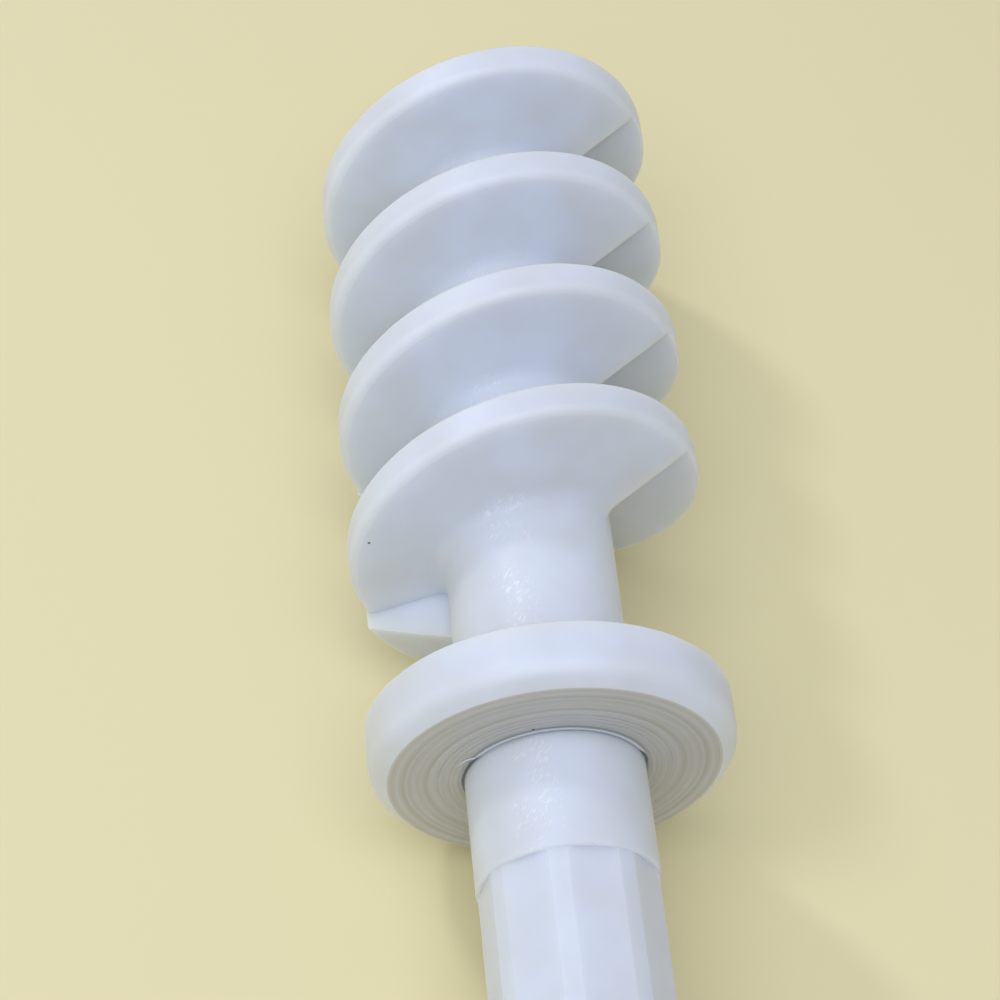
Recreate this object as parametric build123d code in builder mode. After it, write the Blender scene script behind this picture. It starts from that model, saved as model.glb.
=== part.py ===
from build123d import *
import math
import os

# Screw auger of a pasta extruder, turned and formed in one piece of white acetal.
# The axis lies along Y, drive end at -Y, flight at +Y, and Z is up.
# The origin is on the axis, in the plane of the collar's thrust face.
# The flight is a right-hand screw of tilted half rings. Each half ring lies on one side of
# a split plane through the axis and has no undercut there, and each next one is turned half
# a turn about the axis and set half a pitch further on. Their outer ends meet on that plane,
# and small ledges stay near the core. The split plane is rolled about the axis, left side down.

# Driving dimensions in millimetres and degrees
core_diameter = 21.6
flight_diameter = 46.0
pitch = 19.1
half_ring_count = 7
first_ring_y = 37.1
start_setback = 1.8
screw_turn = -31.0
land_width = 4.2
flank_angle = 12.0
near_root_fillet = 2.5
far_root_fillet = 1.2
near_land_fillet = 1.2
far_land_fillet = 0.4
core_end_y = 107.0

collar_diameter = 45.0
collar_thickness = 8.0
collar_bevel_length = 1.7
collar_bevel_depth = 2.2
collar_rim_fillet = 2.5
collar_face_fillet = 0.2
collar_far_chamfer = 0.3

relief_width = 0.35
relief_undercut = 0.5
relief_depth = 1.2

journal_diameter = 22.0
journal_length = 15.0
journal_chamfer = 0.2

drive_sides = 8
drive_across_flats = 20.6
drive_turn = 16.0
drive_corner_cut = 1.2
drive_length = 30.0
drive_end_chamfer = 1.2

# Values that follow from them
core_radius = core_diameter / 2
flight_radius = flight_diameter / 2
collar_radius = collar_diameter / 2
journal_radius = journal_diameter / 2
tilt_slope = pitch / 4 / flight_radius
flank_slope = math.tan(math.radians(flank_angle))
half_land = land_width / 2
relief_outer_radius = journal_radius + relief_width
relief_inner_radius = journal_radius - relief_undercut

# A ring's section runs from inside the core to past the land, which the outer cylinder then trims
section_inner = core_radius / 2
section_outer = flight_radius * 1.2
core_start_y = collar_thickness / 2
touch = 0.01

core_plane = Plane(origin=(0, core_start_y, 0), x_dir=(1, 0, 0), z_dir=(0, 1, 0))
drive_plane = Plane(origin=(0, -journal_length, 0), x_dir=(1, 0, 0), z_dir=(0, -1, 0))


def half_width(radius):
    return half_land + (flight_radius - radius) * flank_slope


def ring_section(plane):
    # The screw's section in a plane through a ring's own axis, which is the plane's local y
    with BuildSketch(plane) as section:
        with BuildLine():
            Polyline(
                (section_inner, -half_width(section_inner)),
                (section_outer, -half_width(section_outer)),
                (section_outer, half_width(section_outer)),
                (section_inner, half_width(section_inner)),
                close=True,
            )
        make_face()
    return section.sketch


def half_ring(index, side, from_right=False, arc=180, setback=0):
    # A tilted ring about the core, above it where side is 1 and below it where side is -1
    centre = (0, first_ring_y + index * pitch / 2 - setback, 0)
    turn = -side if from_right else side
    plane = Plane(origin=centre, x_dir=(turn, side * turn * tilt_slope, 0), z_dir=(0, 0, turn))
    revolve(ring_section(plane), axis=Axis(centre, plane.y_dir * (-side * turn)), revolution_arc=arc)


def flank_edges(screw, radius):
    # The edges where the flanks cut a cylinder about Y, near and far flank in turn
    def runs_on_cylinder(edge):
        middle = edge.position_at(0.5)
        straight_or_round = edge.geom_type in (GeomType.LINE, GeomType.CIRCLE)
        return not straight_or_round and abs(math.hypot(middle.X, middle.Z) - radius) < touch

    return screw.edges().filter_by(runs_on_cylinder).sort_by(Axis.Y)


def whole_turns(edges, radius):
    return edges.filter_by(lambda edge: edge.length > 0.75 * math.pi * radius)


def corners_at(sketch, x, y):
    return sketch.vertices().filter_by(lambda corner: math.hypot(corner.X - x, corner.Y - y) < touch)


def finish_half(screw, kept_half):
    # Trims the rings to the barrel size and the core's end, keeps one half and rounds its edges
    with BuildSketch(core_plane) as barrel:
        Circle(flight_radius)
    extrude(barrel.sketch, amount=core_end_y - core_start_y, mode=Mode.INTERSECT)
    split(bisect_by=Plane.XY, keep=kept_half)
    fillet(whole_turns(flank_edges(screw, core_radius), core_radius)[0::2], near_root_fillet)
    fillet(whole_turns(flank_edges(screw, core_radius), core_radius)[1::2], far_root_fillet)
    fillet(flank_edges(screw, flight_radius)[0::2], near_land_fillet)
    fillet(flank_edges(screw, flight_radius)[1::2], far_land_fillet)


with BuildPart() as upper_screw:
    with BuildSketch(core_plane):
        Circle(core_radius)
    extrude(amount=core_end_y - core_start_y)
    for index in range(0, half_ring_count, 2):
        half_ring(index, 1)
    finish_half(upper_screw, Keep.TOP)

with BuildPart() as lower_screw:
    with BuildSketch(core_plane):
        Circle(core_radius)
    extrude(amount=core_end_y - core_start_y)
    half_ring(-1, -1, arc=90, setback=start_setback)
    for index in range(1, half_ring_count, 2):
        half_ring(index, -1)
    half_ring(half_ring_count, -1, from_right=True, arc=90)
    finish_half(lower_screw, Keep.BOTTOM)

with BuildPart() as auger:
    # Collar with its bevel and the relief at its foot, and the journal, as one turned profile
    with BuildSketch(Plane.XY) as turned:
        with BuildLine():
            Polyline(
                (0, -journal_length),
                (journal_radius - journal_chamfer, -journal_length),
                (journal_radius, -journal_length + journal_chamfer),
                (journal_radius, 0),
                (relief_inner_radius, 0),
                (relief_inner_radius, relief_depth),
                (relief_outer_radius, relief_depth),
                (relief_outer_radius, 0),
                (collar_radius - collar_bevel_depth, 0),
                (collar_radius, collar_bevel_length),
                (collar_radius, collar_thickness - collar_far_chamfer),
                (collar_radius - collar_far_chamfer, collar_thickness),
                (0, collar_thickness),
                close=True,
            )
        make_face()
        fillet(corners_at(turned, collar_radius, collar_bevel_length), collar_rim_fillet)
        fillet(corners_at(turned, collar_radius - collar_bevel_depth, 0), collar_face_fillet)
    revolve(axis=Axis.Y)

    # Faceted drive end, a little inside the journal, its flats turned a little off level
    with BuildSketch(drive_plane) as drive_section:
        RegularPolygon(drive_across_flats / 2, drive_sides, major_radius=False, rotation=drive_turn)
        chamfer(drive_section.vertices(), drive_corner_cut)
    extrude(amount=drive_length)
    chamfer(auger.faces().sort_by(Axis.Y)[0].edges(), drive_end_chamfer)

    # The two halves of the screw are built on the plane Z = 0 and rolled about the axis together
    add([upper_screw.part, lower_screw.part], rotation=(0, screw_turn, 0))

os.makedirs("parts", exist_ok=True)
auger.part.label = "auger"
export_step(auger.part, "parts/auger.step")
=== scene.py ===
import math

import bmesh
import bpy
from mathutils import Matrix, Vector


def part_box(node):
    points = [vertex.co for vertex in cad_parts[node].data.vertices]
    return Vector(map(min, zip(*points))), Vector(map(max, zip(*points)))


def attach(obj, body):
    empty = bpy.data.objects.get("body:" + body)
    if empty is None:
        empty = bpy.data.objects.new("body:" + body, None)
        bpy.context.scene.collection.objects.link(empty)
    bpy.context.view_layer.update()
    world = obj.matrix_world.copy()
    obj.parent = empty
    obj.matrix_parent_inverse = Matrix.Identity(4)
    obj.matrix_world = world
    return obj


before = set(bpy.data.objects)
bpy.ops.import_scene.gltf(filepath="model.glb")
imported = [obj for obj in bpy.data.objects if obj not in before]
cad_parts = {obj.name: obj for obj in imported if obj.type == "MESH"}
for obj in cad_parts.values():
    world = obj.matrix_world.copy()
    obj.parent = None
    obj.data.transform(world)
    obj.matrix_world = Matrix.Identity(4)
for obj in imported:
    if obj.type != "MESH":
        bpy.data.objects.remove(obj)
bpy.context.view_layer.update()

lowest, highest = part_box("auger")
print("frame loaded, auger is", [round((b - a) * 1000, 1) for a, b in zip(lowest, highest)], "mm")


def hexToLinear(code):
    # sRGB hex, as read in a picture editor, to the linear colour that the shader wants
    channels = [int(code[i:i + 2], 16) / 255 for i in (1, 3, 5)]
    linear = [c / 12.92 if c <= 0.04045 else ((c + 0.055) / 1.055) ** 2.4 for c in channels]
    return (*linear, 1.0)


def addNode(tree, kind, settings):
    # settings: node property or input socket -> a value, or the node or socket that feeds it
    node = tree.nodes.new(kind)
    for key, value in settings.items():
        if isinstance(key, str) and hasattr(node, key):
            setattr(node, key, value)
        elif isinstance(value, bpy.types.Node):
            tree.links.new(value.outputs[0], node.inputs[key])
        elif isinstance(value, bpy.types.NodeSocket):
            tree.links.new(value, node.inputs[key])
        else:
            node.inputs[key].default_value = value
    return node


def newMaterial(name):
    material = bpy.data.materials.new(name)
    material.use_nodes = True
    tree = material.node_tree
    tree.nodes.clear()
    return material, tree


# Acetal bar, turned on a lathe and then milled: milky white, so light sinks in a little and
# the edges look soft, with a satin sheen. The lathe leaves rings on the faces across the axis
# and chatter on the rounds, which glints in short strokes where a lamp is mirrored.
acetal = {
    "colour": "#dde4f0",
    "cloudColour": "#d9dee6",
    "cloudMm": 9.0,
    "cloudRange": (0.35, 0.65),
    "roughness": (0.4, 0.5),
    "roughnessMm": 1.4,
    "roughnessRange": (0.3, 0.7),
    "ior": 1.48,
    "subsurface": 1.0,
    "burrSubsurface": 0.0,  # too thin for light to sink in
    "subsurfaceRadius": (1.0, 0.9, 0.8),
    "subsurfaceMm": 4.0,
    "turnedFacesMm": (-45.0, 0.0, 8.0, 107.0),  # where along the axis the lathe faced the bar
    "collarFaceMm": 0.0,
    "faceToleranceMm": 0.06,
    "ringMm": 0.7,  # the real feed is near 0.2 mm, drawn coarser to show
    "ringDepthMm": 0.06,
    "grooveRadiiMm": (12.7, 13.4, 14.1, 15.4, 17.1),  # deeper tool lines on the collar
    "grooveMm": 0.3,
    "grooveDepthMm": 0.1,
    "paintedShadeColour": "#b4afa4",  # painted shade: greys the collar's face, most between the rings
    "paintedShadeRange": (0.3, 0.7),
    "paintedShadeShare": (0.8, 0.45),
    "feedMm": 0.7,  # the real feed is near 0.2 mm, drawn coarser to show
    "feedDepthMm": 0.008,
    "roundRadiusMm": 11.3,  # core and journal lie inside this, the flight outside
    "journalEndMm": -15.0,  # milled flats from here on
    "chatterMm": (0.24, 0.9),  # width and length of a stroke
    "chatterTurn": 35.0,
    "chatterRange": (0.56, 0.68),
    "chatterPatchMm": 6.0,
    "chatterPatchRange": (0.44, 0.56),
    "glintSide": (-0.42, 0.0, 0.91),  # the side that mirrors the window lamp, where the strokes glint and are painted whiter
    "glintBand": (0.95, 0.985),
    "chatterFadeMm": (11.5, 13.0),  # ends where the flanks rise from the core
    "glintColour": "#fbfcff",  # painted glint: the strokes are painted whiter
    "glintShare": 0.45,
    "chatterRoughness": 0.2,  # the strokes are also burnished
    "chatterDepthMm": -0.02,
    "millMm": 5.0,  # slow waves that the mill leaves on the flanks
    "millDepthMm": 0.008,
    "speckColour": "#4b4038",  # grit turned into the surface
    "speckMm": (0.14, 0.2),  # full colour up to the first, none from the second
    "specksMm": ((-20.84, 31.36, 3.51), (-4.3, 0.0, 11.0)),
}


def turnedAcetal(name, subsurface):
    material, tree = newMaterial(name)

    # Millimetres from the origin, then along the axis and away from it
    coordinates = addNode(tree, "ShaderNodeTexCoord", {}).outputs["Object"]
    placeMm = addNode(tree, "ShaderNodeVectorMath", {"operation": "SCALE", 0: coordinates, "Scale": 1000.0})
    parts = addNode(tree, "ShaderNodeSeparateXYZ", {0: placeMm})
    alongMm = parts.outputs["Y"]
    outwards = addNode(tree, "ShaderNodeCombineXYZ", {"X": parts.outputs["X"], "Z": parts.outputs["Z"]})
    radiusMm = addNode(tree, "ShaderNodeVectorMath", {"operation": "LENGTH", 0: outwards}).outputs["Value"]

    # Rings on the turned faces
    onFace = 0.0
    for faceMm in acetal["turnedFacesMm"]:
        onThisFace = addNode(tree, "ShaderNodeMath", {
            "operation": "COMPARE", 0: alongMm, 1: faceMm, 2: acetal["faceToleranceMm"]})
        onFace = addNode(tree, "ShaderNodeMath", {"operation": "ADD", 0: onFace, 1: onThisFace})
    ringNoise = addNode(tree, "ShaderNodeTexNoise", {
        "noise_dimensions": "1D", "W": radiusMm, "Scale": 1 / acetal["ringMm"], "Detail": 2.0})
    rings = addNode(tree, "ShaderNodeMath", {"operation": "MULTIPLY", 0: ringNoise, 1: onFace})

    # A few deeper lines near the collar's hole
    onCollar = addNode(tree, "ShaderNodeMath", {
        "operation": "COMPARE", 0: alongMm, 1: acetal["collarFaceMm"], 2: acetal["faceToleranceMm"]})
    grooves = 0.0
    for grooveRadiusMm in acetal["grooveRadiiMm"]:
        away = addNode(tree, "ShaderNodeMath", {"operation": "SUBTRACT", 0: radiusMm, 1: grooveRadiusMm})
        away = addNode(tree, "ShaderNodeMath", {"operation": "ABSOLUTE", 0: away})
        groove = addNode(tree, "ShaderNodeMapRange", {
            "Value": away, "From Min": 0.0, "From Max": acetal["grooveMm"], "To Min": 1.0, "To Max": 0.0})
        grooves = addNode(tree, "ShaderNodeMath", {"operation": "ADD", 0: grooves, 1: groove})
    grooves = addNode(tree, "ShaderNodeMath", {"operation": "MULTIPLY", 0: grooves, 1: onCollar})

    # Feed marks on the core and the journal
    pastDrive = addNode(tree, "ShaderNodeMath", {
        "operation": "GREATER_THAN", 0: alongMm, 1: acetal["journalEndMm"]})
    onRound = addNode(tree, "ShaderNodeMath", {
        "operation": "LESS_THAN", 0: radiusMm, 1: acetal["roundRadiusMm"]})
    feed = addNode(tree, "ShaderNodeTexNoise", {
        "noise_dimensions": "1D", "W": alongMm, "Scale": 1 / acetal["feedMm"], "Detail": 2.0})
    for mask in (onRound, pastDrive):
        feed = addNode(tree, "ShaderNodeMath", {"operation": "MULTIPLY", 0: feed, 1: mask})

    # Chatter in slanting strokes, in patches along the side of the core and the journal that mirrors the
    # window lamp
    across, length = acetal["chatterMm"]
    slanted = addNode(tree, "ShaderNodeMapping", {
        "Vector": placeMm, "Rotation": (0.0, 0.0, math.radians(acetal["chatterTurn"]))})
    slanted = addNode(tree, "ShaderNodeVectorMath", {
        "operation": "DIVIDE", 0: slanted, 1: (across, length, length)})
    strokes = addNode(tree, "ShaderNodeTexNoise", {"Vector": slanted, "Scale": 1.0, "Detail": 1.0})
    patches = addNode(tree, "ShaderNodeTexNoise", {
        "Vector": placeMm, "Scale": 1 / acetal["chatterPatchMm"], "Detail": 2.0})
    direction = addNode(tree, "ShaderNodeVectorMath", {"operation": "NORMALIZE", 0: outwards})
    towardsSide = addNode(tree, "ShaderNodeVectorMath", {
        "operation": "DOT_PRODUCT", 0: direction, 1: acetal["glintSide"]}).outputs["Value"]
    fadeStart, fadeEnd = acetal["chatterFadeMm"]
    chatter = addNode(tree, "ShaderNodeMapRange", {
        "Value": radiusMm, "From Min": fadeStart, "From Max": fadeEnd, "To Min": 1.0, "To Max": 0.0})
    for source, span in (
        (strokes, "chatterRange"), (patches, "chatterPatchRange"), (towardsSide, "glintBand"),
    ):
        low, high = acetal[span]
        mask = addNode(tree, "ShaderNodeMapRange", {"Value": source, "From Min": low, "From Max": high})
        chatter = addNode(tree, "ShaderNodeMath", {"operation": "MULTIPLY", 0: chatter, 1: mask})
    chatter = addNode(tree, "ShaderNodeMath", {"operation": "MULTIPLY", 0: chatter, 1: pastDrive})

    millWaves = addNode(tree, "ShaderNodeTexNoise", {
        "Vector": placeMm, "Scale": 1 / acetal["millMm"], "Detail": 1.0})

    bumps = {}
    for height, depthMm in (
        (rings, acetal["ringDepthMm"]), (grooves, -acetal["grooveDepthMm"]), (feed, acetal["feedDepthMm"]),
        (chatter, acetal["chatterDepthMm"]), (millWaves, acetal["millDepthMm"]),
    ):
        bump = addNode(tree, "ShaderNodeBump", {
            "Height": height, "Strength": 1.0, "Distance": depthMm / 1000, **bumps})
        bumps = {"Normal": bump}

    # Cloudy body colour, with painted glints in the chatter strokes and painted shade over the collar's
    # face, darkest between its rings
    cloudNoise = addNode(tree, "ShaderNodeTexNoise", {
        "Vector": placeMm, "Scale": 1 / acetal["cloudMm"], "Detail": 2.0})
    low, high = acetal["cloudRange"]
    cloud = addNode(tree, "ShaderNodeMapRange", {"Value": cloudNoise, "From Min": low, "From Max": high})
    colour = addNode(tree, "ShaderNodeMix", {
        "data_type": "RGBA", "Factor": cloud,
        6: hexToLinear(acetal["colour"]), 7: hexToLinear(acetal["cloudColour"])}).outputs[2]
    # painted highlight: the chatter strokes are painted whiter as glints on the side that mirrors the
    # window lamp
    paintedGlints = addNode(tree, "ShaderNodeMath", {
        "operation": "MULTIPLY", 0: chatter, 1: acetal["glintShare"]})
    # painted shade: the collar's face is painted greyer, most in the hollows between its rings
    low, high = acetal["paintedShadeRange"]
    most, least = acetal["paintedShadeShare"]
    paintedShade = addNode(tree, "ShaderNodeMapRange", {
        "Value": rings, "From Min": low, "From Max": high, "To Min": most, "To Max": least})
    paintedShade = addNode(tree, "ShaderNodeMath", {"operation": "MULTIPLY", 0: onCollar, 1: paintedShade})
    tints = [(paintedGlints, acetal["glintColour"]), (paintedShade, acetal["paintedShadeColour"])]

    # Specks of grit
    full, none = acetal["speckMm"]
    for speckMm in acetal["specksMm"]:
        away = addNode(tree, "ShaderNodeVectorMath", {
            "operation": "DISTANCE", 0: placeMm, 1: speckMm}).outputs["Value"]
        onSpeck = addNode(tree, "ShaderNodeMapRange", {
            "Value": away, "From Min": full, "From Max": none, "To Min": 1.0, "To Max": 0.0})
        tints.append((onSpeck, acetal["speckColour"]))
    for share, tint in tints:
        colour = addNode(tree, "ShaderNodeMix", {
            "data_type": "RGBA", "Factor": share, 6: colour, 7: hexToLinear(tint)}).outputs[2]

    roughNoise = addNode(tree, "ShaderNodeTexNoise", {
        "Vector": placeMm, "Scale": 1 / acetal["roughnessMm"], "Detail": 2.0})
    low, high = acetal["roughnessRange"]
    smooth, dull = acetal["roughness"]
    roughness = addNode(tree, "ShaderNodeMapRange", {
        "Value": roughNoise, "From Min": low, "From Max": high, "To Min": smooth, "To Max": dull})
    burnished = addNode(tree, "ShaderNodeMath", {
        "operation": "MULTIPLY", 0: chatter, 1: acetal["chatterRoughness"] - smooth})
    roughness = addNode(tree, "ShaderNodeMath", {"operation": "ADD", 0: roughness, 1: burnished})
    surface = addNode(tree, "ShaderNodeBsdfPrincipled", {
        "Base Color": colour,
        "Roughness": roughness,
        "IOR": acetal["ior"],
        "Subsurface Weight": subsurface,
        "Subsurface Radius": acetal["subsurfaceRadius"],
        "Subsurface Scale": acetal["subsurfaceMm"] / 1000,
        **bumps,
    })
    addNode(tree, "ShaderNodeOutputMaterial", {"Surface": surface})
    return material


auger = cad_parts["auger"]
augerFinish = turnedAcetal("turnedAcetal", acetal["subsurface"])
burrFinish = turnedAcetal("turnedAcetalBurr", acetal["burrSubsurface"])
auger.data.materials.clear()
auger.data.materials.append(augerFinish)
print("auger dressed in", augerFinish.name)


def addPiece(name, bm, material):
    bmesh.ops.remove_doubles(bm, verts=bm.verts, dist=1e-6)
    bmesh.ops.recalc_face_normals(bm, faces=bm.faces)
    mesh = bpy.data.meshes.new(name)
    bm.to_mesh(mesh)
    bm.free()
    mesh.materials.append(material)
    for face in mesh.polygons:
        face.use_smooth = True
    piece = bpy.data.objects.new(name, mesh)
    bpy.context.scene.collection.objects.link(piece)
    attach(piece, "root")
    print(name, "made,", len(mesh.polygons), "faces")


# Thin lip that the turning tool left across the relief at the journal's foot
lip = {
    # radius and place along the axis: on the journal at one end, inside the collar at the other
    "sectionMm": ((10.97, 0.12), (10.97, -0.1), (11.42, -0.05), (11.5, 0.12)),
    "rootMm": 11.4,
    "fromDegrees": -70.0,
    "toDegrees": 64.0,
    "taperDegrees": 9.0,
    "steps": 72,
}

bm = bmesh.new()
start = math.radians(lip["fromDegrees"])
section = []
for radius, along in lip["sectionMm"]:
    place = Vector((radius * math.sin(start), along, radius * math.cos(start))) / 1000
    section.append(bm.verts.new(place))
for first, second in zip(section, section[1:] + section[:1]):
    bm.edges.new((first, second))
bmesh.ops.spin(
    bm, geom=bm.verts[:] + bm.edges[:], axis=(0, 1, 0), cent=(0, 0, 0),
    angle=math.radians(lip["toDegrees"] - lip["fromDegrees"]), steps=lip["steps"])
bmesh.ops.holes_fill(bm, edges=bm.edges, sides=len(section))
for vert in bm.verts:
    # both ends run out into the wall of the hole
    degrees = math.degrees(math.atan2(vert.co.x, vert.co.z))
    toEnd = min(degrees - lip["fromDegrees"], lip["toDegrees"] - degrees) / lip["taperDegrees"]
    radius = math.hypot(vert.co.x, vert.co.z) * 1000
    if toEnd < 1 and radius < lip["rootMm"]:
        wanted = lip["rootMm"] + (radius - lip["rootMm"]) * max(toEnd, 0.0)
        vert.co.x *= wanted / radius
        vert.co.z *= wanted / radius
addPiece("turningLip", bm, burrFinish)


# Loose end of that lip, a curl that lies on the thrust face
curl = {
    "thickMm": 0.2,
    "sides": 8,
    "startMm": (-10.41, -0.06, 4.64),
    "centreMm": (-9.49, 0.0, 1.57),
    "degrees": -47.0,
    "riseMm": 0.25,
    "steps": 14,
    "endScale": 0.3,
}

bm = bmesh.new()
startPlace = Vector(curl["startMm"]) / 1000
centre = Vector(curl["centreMm"]) / 1000
rise = curl["riseMm"] / 1000
arm = Vector((startPlace.x - centre.x, 0, startPlace.z - centre.z))
tangent = Vector((0, 1, 0)).cross(arm).normalized()
bmesh.ops.create_circle(
    bm, segments=curl["sides"], radius=curl["thickMm"] / 2000,
    matrix=Matrix.Translation(startPlace) @ tangent.to_track_quat("Z", "Y").to_matrix().to_4x4())
bmesh.ops.spin(
    bm, geom=bm.verts[:] + bm.edges[:], axis=(0, 1, 0), cent=centre,
    dvec=(0, -rise / curl["steps"], 0), angle=math.radians(curl["degrees"]), steps=curl["steps"])
bmesh.ops.holes_fill(bm, edges=bm.edges, sides=curl["sides"])
for vert in bm.verts:
    # thinner towards the loose end
    way = Vector((vert.co.x - centre.x, 0, vert.co.z - centre.z))
    share = arm.angle(way) / abs(math.radians(curl["degrees"]))
    middle = centre + way.normalized() * arm.length
    middle.y = startPlace.y - rise * share
    vert.co = middle + (vert.co - middle) * (1 - (1 - curl["endScale"]) * min(share, 1.0))
addPiece("turningCurl", bm, burrFinish)


# Painted board under the part, matt and even
board = {"colour": "#ece2b4", "roughness": 0.75, "sizeMm": 6000}


def paintedBoard():
    material, tree = newMaterial("paintedBoard")
    surface = addNode(tree, "ShaderNodeBsdfPrincipled", {
        "Base Color": hexToLinear(board["colour"]), "Roughness": board["roughness"]})
    addNode(tree, "ShaderNodeOutputMaterial", {"Surface": surface})
    return material


bm = bmesh.new()
bmesh.ops.create_grid(bm, x_segments=1, y_segments=1, size=board["sizeMm"] / 2000)
bmesh.ops.translate(bm, verts=bm.verts, vec=(0, 0, lowest.z))
floorMesh = bpy.data.meshes.new("floor")
bm.to_mesh(floorMesh)
bm.free()
floorMesh.materials.append(paintedBoard())
floor = bpy.data.objects.new("floor", floorMesh)
bpy.context.scene.collection.objects.link(floor)
print("floor laid at", round(lowest.z * 1000, 2), "mm")


# A wide soft lamp overhead, a small window from behind on the left that the rounds mirror,
# and an even sky
lamps = {
    "overhead": {"place": (-0.2, -0.22, 0.85), "size": 1.0, "watts": 5.2, "colour": "#f2f6ff"},
    "window": {"place": (-0.51, 0.6, 0.66), "size": 0.14, "watts": 1.8, "colour": "#f2f6ff"},
}
aim = (0.0, 0.04, 0.0)
sky = {"colour": "#f6f8ff", "strength": 0.42}

for name, lamp in lamps.items():
    light = bpy.data.lights.new(name, "AREA")
    light.shape = "DISK"
    light.size = lamp["size"]
    light.energy = lamp["watts"]
    light.color = hexToLinear(lamp["colour"])[:3]
    lampObject = bpy.data.objects.new(name, light)
    facing = (Vector(aim) - Vector(lamp["place"])).to_track_quat("-Z", "Y")
    lampObject.matrix_world = Matrix.Translation(lamp["place"]) @ facing.to_matrix().to_4x4()
    bpy.context.scene.collection.objects.link(lampObject)

world = bpy.data.worlds.new("studio")
world.use_nodes = True
worldTree = world.node_tree
worldTree.nodes.clear()
skyLight = addNode(worldTree, "ShaderNodeBackground", {
    "Color": hexToLinear(sky["colour"]), "Strength": sky["strength"]})
addNode(worldTree, "ShaderNodeOutputWorld", {"Surface": skyLight})
bpy.context.scene.world = world
print("lamps set:", ", ".join(lamps))


# Camera above the drive end, looking down along the screw
view = {
    "placeMm": (-58.1, -149.2, 272.2),
    "direction": (0.1641, 0.5637, -0.8095),
    "up": (0.0, 0.8207, 0.5714),
    "lensMm": 93.8,
    "sensorMm": 36.0,
}

cameraData = bpy.data.cameras.new("camera")
cameraData.sensor_fit = "HORIZONTAL"
cameraData.sensor_width = view["sensorMm"]
cameraData.lens = view["lensMm"]
cameraData.clip_start = 0.01
camera = bpy.data.objects.new("camera", cameraData)
back = -Vector(view["direction"]).normalized()
right = Vector(view["up"]).cross(back).normalized()
up = back.cross(right)
turn = Matrix((right, up, back)).transposed().to_4x4()
camera.matrix_world = Matrix.Translation(Vector(view["placeMm"]) / 1000) @ turn
bpy.context.scene.collection.objects.link(camera)
bpy.context.scene.camera = camera
bpy.context.scene.view_settings.view_transform = "Standard"
print("camera set")
